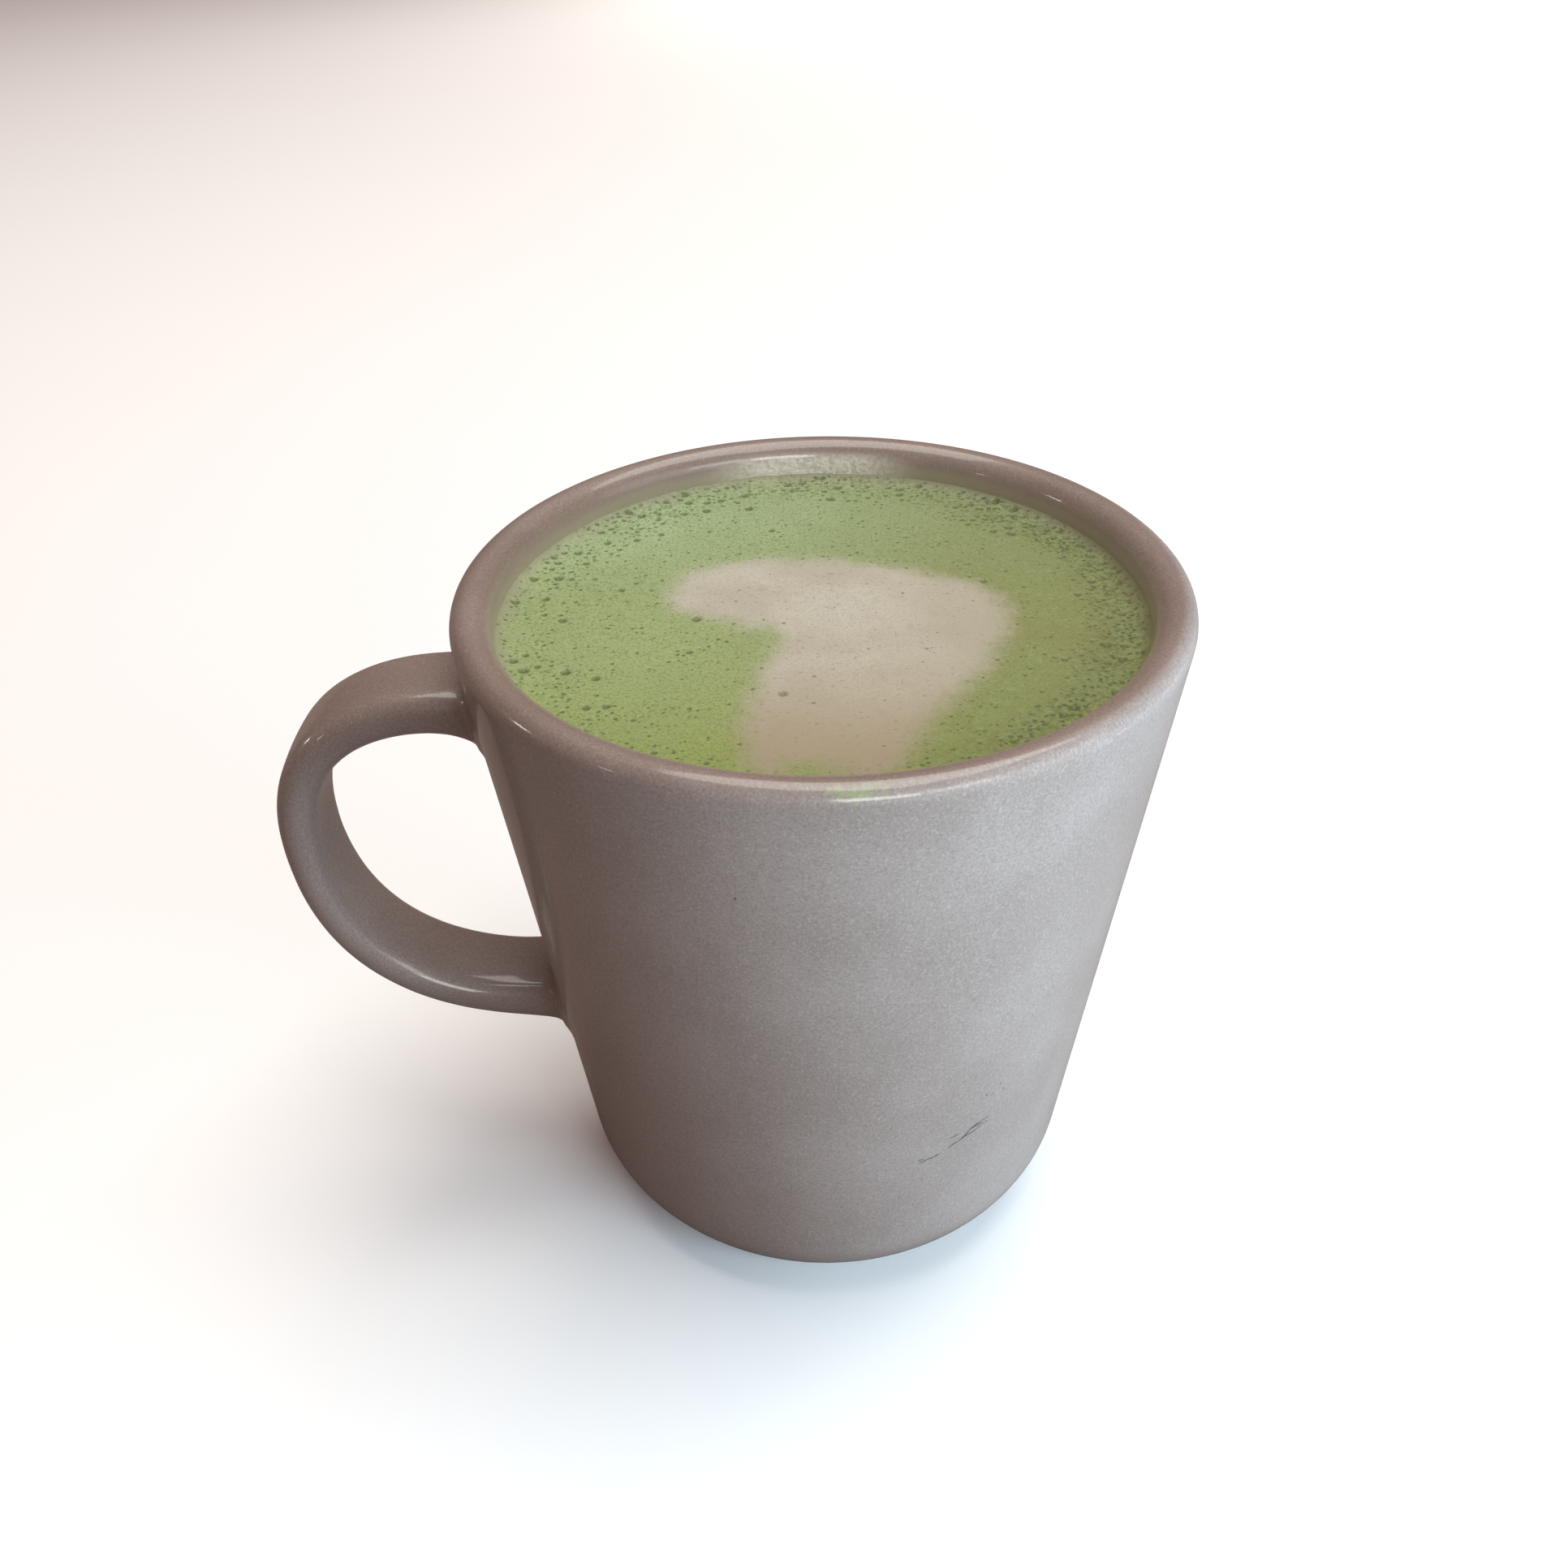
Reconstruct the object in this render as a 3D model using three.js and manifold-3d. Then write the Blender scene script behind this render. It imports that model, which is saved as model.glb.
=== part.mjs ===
// A matcha latte in its stoneware mug: cup and handle in one piece, the drink, and the milk foam heart on it.
// Millimetres, +Z up. The origin is on the table, under the middle of the whole outline, handle included.

import * as THREE from "three";
import { mergeVertices } from "three/addons/utils/BufferGeometryUtils.js";
import Module from "manifold-3d";

// The cup, a straight cone with a rounded base and a rolled lip
const MUG_HEIGHT = 96.9;
const RIM_RADIUS = 46;
const WALL = 5;
const WALL_SLOPE = 0.1215;
const LIP_OUTER_ROUND = 1.6;
const LIP_INNER_ROUND = 3;
const BASE_ROUND = 12.6;
const FLOOR = 7;
const CAVITY_ROUND = 11;

// The foot ring under the base, and the shallow hollow inside it
const FOOT_INNER_RADIUS = 17;
const FOOT_HOLLOW = 1.2;
const FOOT_HOLLOW_RADIUS = 15.5;

// The handle, a strap that swells where it meets the cup
const HANDLE_WIDTH = 13.6;
const HANDLE_EDGE_ROUND = 2.4;
const HANDLE_TOP_THICKNESS = 6.4;
const HANDLE_MIDDLE_THICKNESS = 4.9;
const HANDLE_BOTTOM_THICKNESS = 6;
const ROOT_SWELL = 1.1;
const ROOT_SWELL_LENGTH = 2.6;

// The handle's middle line: where it leaves the wall, its outermost point and where it comes back.
// Each place is a distance from the cup's axis and a height, and each pull sets how far the line runs straight.
const TOP_ROOT = { out: 40, up: 79.4, angle: 24.2, pull: 11.2 };
const OUTERMOST = { out: 71.1, up: 61.2, pull: 20.6 };
const BOTTOM_ROOT = { out: 36, up: 31.6, angle: -4.5, pull: 21.6 };

// The drink and the heart of milk foam let into its surface
const DRINK_LEVEL = 92;
const GAP = 0.3;
const HEART_DEPTH = 2.2;

// How finely curves are divided
const TURN_STEPS = 48;
const ARC_STEPS = 4;
const HANDLE_STEPS = 26;
const EDGE_STEPS = 3;
const HEART_STEPS = 48;

const wasm = await Module();
wasm.setup();

const slopeAngle = Math.atan(WALL_SLOPE);

// Points along an arc, from one angle to another in radians
function arc(centreX, centreY, radiusX, radiusY, from, to, steps = ARC_STEPS) {
  const points = [];
  for (let i = 0; i <= steps; i++) {
    const angle = from + ((to - from) * i) / steps;
    points.push(new THREE.Vector2(centreX + radiusX * Math.cos(angle), centreY + radiusY * Math.sin(angle)));
  }
  return points;
}

// Where the outer lip arc ends and the straight wall starts
const lipX = RIM_RADIUS - LIP_OUTER_ROUND;
const lipZ = MUG_HEIGHT - LIP_OUTER_ROUND;
function outerRadius(z) {
  const topRadius = lipX + LIP_OUTER_ROUND * Math.cos(slopeAngle);
  const topZ = lipZ - LIP_OUTER_ROUND * Math.sin(slopeAngle);
  return topRadius - WALL_SLOPE * (topZ - z);
}

// The inner wall, which is parallel to the outer one
const innerLipX = RIM_RADIUS - WALL + LIP_INNER_ROUND;
const innerLipZ = MUG_HEIGHT - LIP_INNER_ROUND;
function innerRadius(z) {
  const topRadius = innerLipX - LIP_INNER_ROUND * Math.cos(slopeAngle);
  const topZ = innerLipZ + LIP_INNER_ROUND * Math.sin(slopeAngle);
  return topRadius - WALL_SLOPE * (topZ - z);
}

// The bottom of the cup's inside from the axis to the wall, drawn in by a gap for what fills it
function cavityFloor(gap = 0) {
  const centreZ = FLOOR + CAVITY_ROUND;
  const centreX = innerRadius(centreZ) - CAVITY_ROUND / Math.cos(slopeAngle);
  const radius = CAVITY_ROUND - gap;
  return [
    new THREE.Vector2(0, FLOOR + gap),
    ...arc(centreX, centreZ, radius, radius, -Math.PI / 2, -slopeAngle),
  ];
}

function lathe(profile) {
  return new THREE.LatheGeometry(profile, TURN_STEPS).rotateX(Math.PI / 2);
}

// A geometry as a solid: shared corners merged, and triangles that closed up on the axis dropped
function solid(geometry) {
  const bare = geometry.clone();
  bare.deleteAttribute("normal");
  bare.deleteAttribute("uv");
  const merged = mergeVertices(bare, 1e-4);
  const corners = merged.index.array;
  const kept = [];
  for (let i = 0; i < corners.length; i += 3) {
    const [a, b, c] = corners.slice(i, i + 3);
    if (a !== b && b !== c && c !== a) {
      kept.push(a, b, c);
    }
  }
  return new wasm.Manifold(new wasm.Mesh({
    numProp: 3,
    vertProperties: Float32Array.from(merged.attributes.position.array),
    triVerts: Uint32Array.from(kept),
  }));
}

function geometryOf(manifold) {
  const mesh = manifold.getMesh();
  const geometry = new THREE.BufferGeometry();
  geometry.setAttribute("position", new THREE.BufferAttribute(Float32Array.from(mesh.vertProperties), 3));
  geometry.setIndex(new THREE.BufferAttribute(Uint32Array.from(mesh.triVerts), 1));
  geometry.computeVertexNormals();
  return geometry;
}

function cup() {
  const baseArc = arc(0, BASE_ROUND, BASE_ROUND, BASE_ROUND, -Math.PI / 2, 0, ARC_STEPS + 2);
  const profile = [
    new THREE.Vector2(0, FOOT_HOLLOW),
    new THREE.Vector2(FOOT_HOLLOW_RADIUS, FOOT_HOLLOW),
    new THREE.Vector2(FOOT_INNER_RADIUS, 0),
    ...baseArc.map((point) => new THREE.Vector2(outerRadius(point.y) - BASE_ROUND + point.x, point.y)),
    ...arc(lipX, lipZ, LIP_OUTER_ROUND, LIP_OUTER_ROUND, -slopeAngle, 0, 1),
    ...arc(lipX, lipZ, LIP_OUTER_ROUND, LIP_OUTER_ROUND, 0, Math.PI / 2).slice(1),
    ...arc(innerLipX, innerLipZ, LIP_INNER_ROUND, LIP_INNER_ROUND, Math.PI / 2, Math.PI - slopeAngle),
    ...cavityFloor().reverse(),
  ];
  return solid(lathe(profile));
}

// The inside of the cup out to the middle of its wall, which cuts the handle's ends off inside the wall
function handleTrim() {
  const top = MUG_HEIGHT;
  return solid(lathe([
    new THREE.Vector2(0, FLOOR),
    new THREE.Vector2(outerRadius(FLOOR) - WALL / 2, FLOOR),
    new THREE.Vector2(outerRadius(top) - WALL / 2, top),
    new THREE.Vector2(0, top),
  ]));
}

// A point on the handle's middle line, which lies over the negative X axis
function onHandle(out, up) {
  return new THREE.Vector3(-out, 0, up);
}

function handleLine() {
  const pulled = (root) => {
    const angle = THREE.MathUtils.degToRad(root.angle);
    return onHandle(root.out + root.pull * Math.cos(angle), root.up + root.pull * Math.sin(angle));
  };
  const line = new THREE.CurvePath();
  line.add(new THREE.CubicBezierCurve3(
    onHandle(TOP_ROOT.out, TOP_ROOT.up),
    pulled(TOP_ROOT),
    onHandle(OUTERMOST.out, OUTERMOST.up + OUTERMOST.pull),
    onHandle(OUTERMOST.out, OUTERMOST.up),
  ));
  line.add(new THREE.CubicBezierCurve3(
    onHandle(OUTERMOST.out, OUTERMOST.up),
    onHandle(OUTERMOST.out, OUTERMOST.up - OUTERMOST.pull),
    pulled(BOTTOM_ROOT),
    onHandle(BOTTOM_ROOT.out, BOTTOM_ROOT.up),
  ));
  return line;
}

// The strap's section, one unit thick with its round edges squashed to suit, and as wide as the strap
function strapSection() {
  const halfWidth = HANDLE_WIDTH / 2;
  const roundY = HANDLE_EDGE_ROUND / HANDLE_MIDDLE_THICKNESS;
  const section = new THREE.Shape();
  section.setFromPoints([
    ...arc(halfWidth - HANDLE_EDGE_ROUND, 0.5 - roundY, HANDLE_EDGE_ROUND, roundY, 0, Math.PI / 2, EDGE_STEPS),
    ...arc(HANDLE_EDGE_ROUND - halfWidth, 0.5 - roundY, HANDLE_EDGE_ROUND, roundY, Math.PI / 2, Math.PI, EDGE_STEPS),
    ...arc(HANDLE_EDGE_ROUND - halfWidth, roundY - 0.5, HANDLE_EDGE_ROUND, roundY,
      Math.PI, 1.5 * Math.PI, EDGE_STEPS),
    ...arc(halfWidth - HANDLE_EDGE_ROUND, roundY - 0.5, HANDLE_EDGE_ROUND, roundY,
      1.5 * Math.PI, 2 * Math.PI, EDGE_STEPS),
  ]);
  return section;
}

// How thick the strap is at a share of its length: thick, thinner at the outermost point, and thicker again
function strapThickness(share) {
  return share < 0.5
    ? THREE.MathUtils.lerp(HANDLE_TOP_THICKNESS, HANDLE_MIDDLE_THICKNESS, share * 2)
    : THREE.MathUtils.lerp(HANDLE_MIDDLE_THICKNESS, HANDLE_BOTTOM_THICKNESS, share * 2 - 1);
}

// The strap is extruded straight, and then each of its points is moved to its place along the middle line
function handle() {
  const strap = new THREE.ExtrudeGeometry(strapSection(), { depth: 1, steps: HANDLE_STEPS, bevelEnabled: false });
  const line = handleLine();
  const places = strap.attributes.position;
  for (let i = 0; i < places.count; i++) {
    const share = places.getZ(i);
    const centre = line.getPointAt(share);
    const along = line.getTangentAt(share);
    const inward = along.clone().cross(new THREE.Vector3(0, 1, 0)).normalize();
    const fromWall = Math.max(0, -centre.x - outerRadius(centre.z));
    const swell = ROOT_SWELL * Math.exp(-fromWall / ROOT_SWELL_LENGTH);
    const side = places.getX(i) * (1 + (2 * swell) / HANDLE_WIDTH);
    const lift = places.getY(i) * (strapThickness(share) + 2 * swell);
    centre.addScaledVector(inward, lift);
    places.setXYZ(i, centre.x, side, centre.z);
  }
  return solid(strap);
}

function mug() {
  return geometryOf(cup().add(handle().subtract(handleTrim())));
}

// The heart's outline on the drink, from the left lobe's tip over the top and round to the notch.
// It is lopsided, with a small left lobe, a large right one and a broad tail that runs to the front of the cup.
const HEART_POINTS = [
  [-19.3, 5.2], [-16, 12], [-8, 14.3], [1, 13.9], [12.5, 10.2], [21.4, 4.8], [23.2, -3.2],
  [19, -14.4], [12.6, -24], [8, -33], [2.6, -38.2], [-5.2, -38], [-9.4, -33], [-9.6, -25],
  [-7.6, -15.2], [-5.4, -5.2], [-12, -2.2], [-17.4, 1.4],
];

// The outline as a closed smooth curve, let out all round by a margin
function heartShape(margin = 0) {
  const ring = new THREE.CatmullRomCurve3(HEART_POINTS.map(([x, y]) => new THREE.Vector3(x, y, 0)), true);
  const points = [];
  for (let i = 0; i < HEART_STEPS; i++) {
    const place = ring.getPointAt(i / HEART_STEPS);
    const along = ring.getTangentAt(i / HEART_STEPS);
    points.push(new THREE.Vector2(place.x - margin * along.y, place.y + margin * along.x));
  }
  return new THREE.Shape(points);
}

function heartBlock(depth, margin, above) {
  const block = new THREE.ExtrudeGeometry(heartShape(margin), { depth: depth + above, steps: 1, bevelEnabled: false });
  return block.translate(0, 0, DRINK_LEVEL - depth);
}

function milkHeart() {
  return geometryOf(solid(heartBlock(HEART_DEPTH, 0, 0)));
}

// The drink fills the cup up to its level, with a pocket for the heart
function latte() {
  const level = DRINK_LEVEL;
  const profile = [
    ...cavityFloor(GAP),
    new THREE.Vector2(innerRadius(level) - GAP / Math.cos(slopeAngle), level),
    new THREE.Vector2(0, level),
  ];
  return geometryOf(solid(lathe(profile)).subtract(solid(heartBlock(HEART_DEPTH + GAP, GAP, 1))));
}

function named(name, geometry, colour, roughness) {
  const material = new THREE.MeshStandardMaterial({ color: colour, roughness, metalness: 0 });
  const mesh = new THREE.Mesh(geometry, material);
  mesh.name = name;
  return mesh;
}

// The cup's axis stands to the right of the origin by half of what the handle adds to the outline
const mugGeometry = mug();
mugGeometry.computeBoundingBox();

const matchaLatte = new THREE.Group();
matchaLatte.position.x = -mugGeometry.boundingBox.getCenter(new THREE.Vector3()).x;
matchaLatte.add(named("mug", mugGeometry, 0xb5aba3, 0.35));
matchaLatte.add(named("latte", latte(), 0xa3b273, 0.6));
matchaLatte.add(named("milk_heart", milkHeart(), 0xd6cdbb, 0.65));

export default matchaLatte;
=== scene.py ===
# A matcha latte in its glazed mug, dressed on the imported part. Metres, +Z up.
import math
import random

import bmesh
import bpy
import numpy as np
from mathutils import Matrix, Vector, noise
from mathutils.geometry import delaunay_2d_cdt


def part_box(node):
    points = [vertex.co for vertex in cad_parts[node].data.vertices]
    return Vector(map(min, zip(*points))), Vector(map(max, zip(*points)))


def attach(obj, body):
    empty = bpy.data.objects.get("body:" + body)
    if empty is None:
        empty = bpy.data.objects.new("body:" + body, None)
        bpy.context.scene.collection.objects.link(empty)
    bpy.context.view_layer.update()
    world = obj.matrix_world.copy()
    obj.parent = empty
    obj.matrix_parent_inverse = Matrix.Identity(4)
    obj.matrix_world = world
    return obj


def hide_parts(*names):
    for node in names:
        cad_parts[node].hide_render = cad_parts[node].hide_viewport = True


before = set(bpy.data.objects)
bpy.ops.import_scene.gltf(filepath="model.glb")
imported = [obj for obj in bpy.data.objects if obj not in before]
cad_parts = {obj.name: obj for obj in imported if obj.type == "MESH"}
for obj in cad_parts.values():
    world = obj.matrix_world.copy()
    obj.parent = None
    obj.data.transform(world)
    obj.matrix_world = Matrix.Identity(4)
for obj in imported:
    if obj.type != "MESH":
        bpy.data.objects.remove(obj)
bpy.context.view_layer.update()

# What the frame gives: the cup's axis, its rim and height, and the drink's level
MUG_LOW, MUG_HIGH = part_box("mug")
DRINK_LOW, DRINK_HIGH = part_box("latte")
AXIS_X = (DRINK_LOW[0] + DRINK_HIGH[0]) / 2
RIM_RADIUS = (MUG_HIGH[1] - MUG_LOW[1]) / 2
MUG_HEIGHT = MUG_HIGH[2]
DRINK_LEVEL = DRINK_HIGH[2]

# The cup's section
WALL = 0.005
WALL_SLOPE = 0.1215
LIP_OUTER_ROUND = 0.0022
LIP_INNER_ROUND = 0.0028
BASE_ROUND = 0.0126
FLOOR = 0.007
CAVITY_ROUND = 0.011
FOOT_INNER_RADIUS = 0.017
FOOT_HOLLOW = 0.0012
FOOT_HOLLOW_RADIUS = 0.0155
FOOT_CHAMFER = (0.0004, 0.0002)
SLOPE_ANGLE = math.atan(WALL_SLOPE)
LIP = (RIM_RADIUS - LIP_OUTER_ROUND, MUG_HEIGHT - LIP_OUTER_ROUND)
INNER_LIP = (RIM_RADIUS - WALL + LIP_INNER_ROUND, MUG_HEIGHT - LIP_INNER_ROUND)

# How finely the cup is cut: its sides, drawn together towards the handle, and its rows, close together
# within a stretch above and below the heights of the handle's roots
CUP_SIDES = 300
DRAWN_TOGETHER = 0.6
ROW_STEP = 0.0014
FINE_ROW_STEP = 0.0004
ROOT_HEIGHTS = (0.0815, 0.0314)
FINE_STRETCH = 0.0085

# The handle's strap, and its middle line as distances from the cup's axis and heights
STRAP_WIDTH = 0.0136
STRAP_EDGE_ROUND = 0.0024
STRAP_THICKNESS = (0.0064, 0.0049, 0.006)
STRAP_CROWN = 0.0004
STRAP_RINGS = 150
STRAP_EDGE_STEPS = 8
TOP_ROOT = {"at": (0.040, 0.0794), "angle": 24.2, "pull": 0.0112}
OUTERMOST = {"at": (0.07085, 0.0612), "pull": 0.0206}
BOTTOM_ROOT = {"at": (0.036, 0.0316), "angle": -4.5, "pull": 0.0216}

# Where the strap grows out of the wall: its swelling, the fillet round it, and its slopes there in degrees
ROOT_SWELL = 0.0007
ROOT_SWELL_LENGTH = 0.0024
ROOT_FILLET = 0.0011
ROOT_FILLET_REACH = 0.0034
ROOT_SLOPES = (31, -12)

# The seam between cup and strap: corners nearer than this are joined, and it is softened so many corners
# out and so many times
SEAM_MERGE = 0.00006
SEAM_REACH = 3
SEAM_ROUNDS = 6

# How far the drink reaches into the wall, so that no gap shows, and the rows down its side
DRINK_OVERLAP = 0.0003
DRINK_DEPTHS = (0.001, 0.004, 0.02, 0.04, 0.055, 0.07)

# The heart's outline on the drink, from the left lobe's tip over the top and round to the notch,
# measured from the cup's axis
HEART_OUTLINE = [
    (-0.0193, 0.0052), (-0.0160, 0.0118), (-0.0080, 0.0143), (0.0010, 0.0139), (0.0125, 0.0102),
    (0.0214, 0.0048), (0.0232, -0.0032), (0.0190, -0.0144), (0.0126, -0.0240), (0.0080, -0.0330),
    (0.0026, -0.0382), (-0.0052, -0.0380), (-0.0094, -0.0330), (-0.0096, -0.0250),
    (-0.0076, -0.0152), (-0.0054, -0.0052), (-0.0120, -0.0022), (-0.0174, 0.0014),
]
# A green island in the heart's tail
ISLAND = {"at": (-0.0026, -0.0355), "radii": (0.0030, 0.0022)}

# The foam's relief: its waves and ripples, how proud the heart stands, and how far the foam climbs the wall
# at the front and elsewhere, within a band along the wall
WAVE_HEIGHT = 0.00013
RIPPLE_HEIGHT = 0.00003
HEART_HEIGHT = 0.00008
CLIMB_FRONT = 0.0001
CLIMB_ELSEWHERE = 0.0006
CLIMB_RAGGED = 0.00012
CLIMB_WIDTH = 0.0026

# How finely the foam is cut: rings along its edge, and an even grid inside them
EDGE_POINTS = 420
EDGE_INSETS = (0.0002, 0.0004, 0.0007, 0.001, 0.0014, 0.0018, 0.0023, 0.0028)
GRID_STEP = 0.00072
GRID_INSET = 0.0033

# Burst bubbles in the foam: their radii, and the share of the places tried that get one, away from the
# wall and in the band along it at the back, on the right and on the left
PITS = {
    "fine": {"radii": (0.00013, 0.00032), "plain": 0.030, "back": 0.130, "right": 0.170, "left": 0.120},
    "coarse": {"radii": (0.00032, 0.00080), "plain": 0.0022, "back": 0.074, "right": 0.014, "left": 0.012},
}
# The places tried for each kind, the cells in which a pit's neighbours are looked up, the least distance of
# two pits as a share of their radii together, and their least distance from the edge
PIT_DRAWS = 30000
PIT_CELL = 0.0016
PIT_SPACING = 1.2
PIT_MARGIN = 0.0004

# A pit's depth and the height of its rim, how far it shapes the foam, and how far off other points stay, as
# shares of its radius. Then its rings of points, each as (share of its radius, points), fewer in a small pit.
PIT_DEPTH = 0.42
PIT_RIM = 0.03
PIT_REACH = 1.5
PIT_CLEARANCE = 1.75
PIT_RINGS = ((0.45, 6), (0.8, 8), (1.0, 9), (1.3, 9))
SMALL_PIT_RINGS = ((0.7, 6), (1.15, 7))
SMALL_PIT = 0.0002

# A green smear on the lip: where it is, and how steeply it fades along each axis
SMEAR = {"at": (0.0020, -0.04525, 0.0967), "per_metre": (260, 800, 900)}

# Light scuffs low on the front: lines of (degrees round the cup, height), and specks as very short lines
SCUFF_LINES = [
    [(292.9, 0.0317), (294.2, 0.0322), (295.6, 0.0326)],
    [(295.4, 0.0325), (296.9, 0.0334), (297.1, 0.0338), (298.0, 0.0343), (298.7, 0.0346), (300.1, 0.0347),
     (301.6, 0.0351)],
    [(295.4, 0.0325), (296.7, 0.0329), (298.0, 0.0331), (298.9, 0.0334), (300.1, 0.0339), (301.5, 0.0342)],
    [(295.2, 0.0324), (296.2, 0.0329), (297.4, 0.0334)],
    [(297.6, 0.0339), (299.0, 0.0343), (300.4, 0.0343)],
    [(293.0, 0.0336), (293.9, 0.0339), (295.1, 0.0340)],
    [(286.9, 0.0302), (288.4, 0.0306), (289.6, 0.0307), (290.8, 0.0310)],
    [(289.3, 0.0306), (290.2, 0.0308), (291.2, 0.0311)],
    [(286.7, 0.0308), (287.9, 0.0311)],
]
SCUFF_WIDTH = 0.00028
SCUFF_SPECKS = [(300.0, 0.0401), (301.5, 0.0398), (304.1, 0.0396), (303.0, 0.0411), (255.9, 0.0811)]
SPECK_HALF_DEGREES = 0.18
SPECK_RISE = 0.00012

# From the drink's left to its right, as the foam's colours change across it
LEFT_TO_RIGHT = (-0.028, 0.036)

# The camera of the photograph, from a fit to the mug's outline
PHOTO_SIDE = 1932
FOCAL_PIXELS = 1878.3
SENSOR_WIDTH = 36
CAMERA_AIM = (-0.00525, 0, 0.0654)
CAMERA_DISTANCE = 0.2079
CAMERA_PITCH = math.radians(35.5)
CAMERA_ROLL = math.radians(-1.378)

# Lamps, each with its azimuth (0 is the viewer's side, 90 the right), elevation, distance, size, watts and
# colour. A glow is too soft to show as a highlight, and a glint shows as nothing else.
LAMPS = {
    "side window": (58, 20, 1.5, (1.3, 0.9), 5, (0.95, 1.0, 1.0)),
    "low glow": (83, 0, 0.7, (1.0, 0.1), 18, (0.5, 0.78, 1.0)),
    "near glow": (24, 18, 0.142, (0.08, 0.025), 0.112, (0.58, 0.84, 1.0)),
    "front glow": (20, 23, 1.2, (0.46, 0.40), 1.7, (1.0, 0.9, 0.86)),
    "front glint": (13, 24, 1.2, (0.46, 0.30), 4.4, (0.96, 0.99, 1.0)),
    "right glint": (38, 26, 1.2, (0.42, 0.30), 1.7, (0.9, 0.97, 1.0)),
    "far window": (-93, 13, 1.2, (0.12, 0.07), 0.6, (1.0, 0.98, 0.95)),
    "left window": (-62, 14, 1.2, (0.07, 0.05), 0.16, (1.0, 0.98, 0.95)),
    "back glow": (165, 10, 1.2, (0.8, 0.4), 3.0, (1.0, 0.95, 0.9)),
    "ceiling": (150, 80, 1.4, (1.2, 1.2), 20.5, (1.0, 1.0, 0.95)),
}
ROOM_COLOUR = (1.0, 0.42, 0.38)
ROOM_STRENGTH = 0.125
BACKDROP = (251, 250, 249)
FLOOR_REACH = 1.25
FLOOR_CELLS = 8

SEED = 11
rng = random.Random(SEED)


# Shapes

def arc(centre_x, centre_z, radius, start, end, steps):
    """Points along an arc, from one angle to another in radians."""
    angles = np.linspace(start, end, steps + 1)
    return np.stack([centre_x + radius * np.cos(angles), centre_z + radius * np.sin(angles)], 1)


def outer_radius(z):
    """How far the cup's outer wall is from its axis at a height."""
    top_radius = LIP[0] + LIP_OUTER_ROUND * math.cos(SLOPE_ANGLE)
    top_z = LIP[1] - LIP_OUTER_ROUND * math.sin(SLOPE_ANGLE)
    return top_radius - WALL_SLOPE * (top_z - z)


def inner_radius(z):
    """How far the cup's inner wall is from its axis at a height."""
    top_radius = INNER_LIP[0] - LIP_INNER_ROUND * math.cos(SLOPE_ANGLE)
    top_z = INNER_LIP[1] + LIP_INNER_ROUND * math.sin(SLOPE_ANGLE)
    return top_radius - WALL_SLOPE * (top_z - z)


def cavity_floor(gap, steps):
    """The bottom of the cup's inside, from the axis to the wall."""
    centre_z = FLOOR + CAVITY_ROUND
    centre_x = inner_radius(centre_z) - CAVITY_ROUND / math.cos(SLOPE_ANGLE)
    return arc(centre_x, centre_z, CAVITY_ROUND - gap, -math.pi / 2, -SLOPE_ANGLE, steps)


def wall_heights():
    """Rows up the outer wall, close together where the handle's roots are."""
    rows = [BASE_ROUND]
    while rows[-1] < LIP[1] - 0.001:
        z = rows[-1]
        near_root = min(abs(z - height) for height in ROOT_HEIGHTS) < FINE_STRETCH
        rows.append(z + (FINE_ROW_STEP if near_root else ROW_STEP))
    return np.array(rows[1:-1])


def cup_profile():
    """The cup's section, from the foot's hollow round the outside, over the lip and down the inside."""
    base = arc(0, BASE_ROUND, BASE_ROUND, -math.pi / 2, 0, 20)
    base[:, 0] += outer_radius(base[:, 1]) - BASE_ROUND
    wall = wall_heights()
    inside = np.linspace(INNER_LIP[1], FLOOR + CAVITY_ROUND, 30)[1:-1]
    return np.concatenate([
        [(FOOT_HOLLOW_RADIUS * 0.5, FOOT_HOLLOW), (FOOT_HOLLOW_RADIUS, FOOT_HOLLOW)],
        [(FOOT_INNER_RADIUS - FOOT_CHAMFER[0], FOOT_CHAMFER[1]), (FOOT_INNER_RADIUS, 0)],
        base,
        np.stack([outer_radius(wall), wall], 1),
        arc(*LIP, LIP_OUTER_ROUND, -SLOPE_ANGLE, 0, 1),
        arc(*LIP, LIP_OUTER_ROUND, 0, math.pi / 2, 10)[1:],
        arc(*INNER_LIP, LIP_INNER_ROUND, math.pi / 2, math.pi - SLOPE_ANGLE, 12),
        np.stack([inner_radius(inside), inside], 1),
        cavity_floor(0, 10)[::-1],
    ])


def turned(profile, angles, bottom, top):
    """A profile turned round the cup's axis and closed on it. Returns corners and faces."""
    around = len(angles)
    ring = np.stack([np.cos(angles), np.sin(angles)], 1)
    body = np.empty((len(profile), around, 3))
    body[:, :, :2] = profile[:, None, :1] * ring[None]
    body[:, :, 2] = profile[:, 1:]
    corners = np.concatenate([[(0, 0, bottom)], body.reshape(-1, 3), [(0, 0, top)]])
    faces = []
    last = len(corners) - 1
    for j in range(around):
        k = (j + 1) % around
        faces.append((0, 1 + k, 1 + j))
        faces.append((last, last - around + j, last - around + k))
    for i in range(len(profile) - 1):
        low = 1 + i * around
        high = low + around
        for j in range(around):
            k = (j + 1) % around
            faces.append((low + j, low + k, high + k, high + j))
    return corners, faces


def cup_angles():
    """Angles round the cup, closer together on the handle's side."""
    turn = np.linspace(0, 2 * math.pi, CUP_SIDES, endpoint=False)
    return turn + DRAWN_TOGETHER * np.sin(turn)


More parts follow.
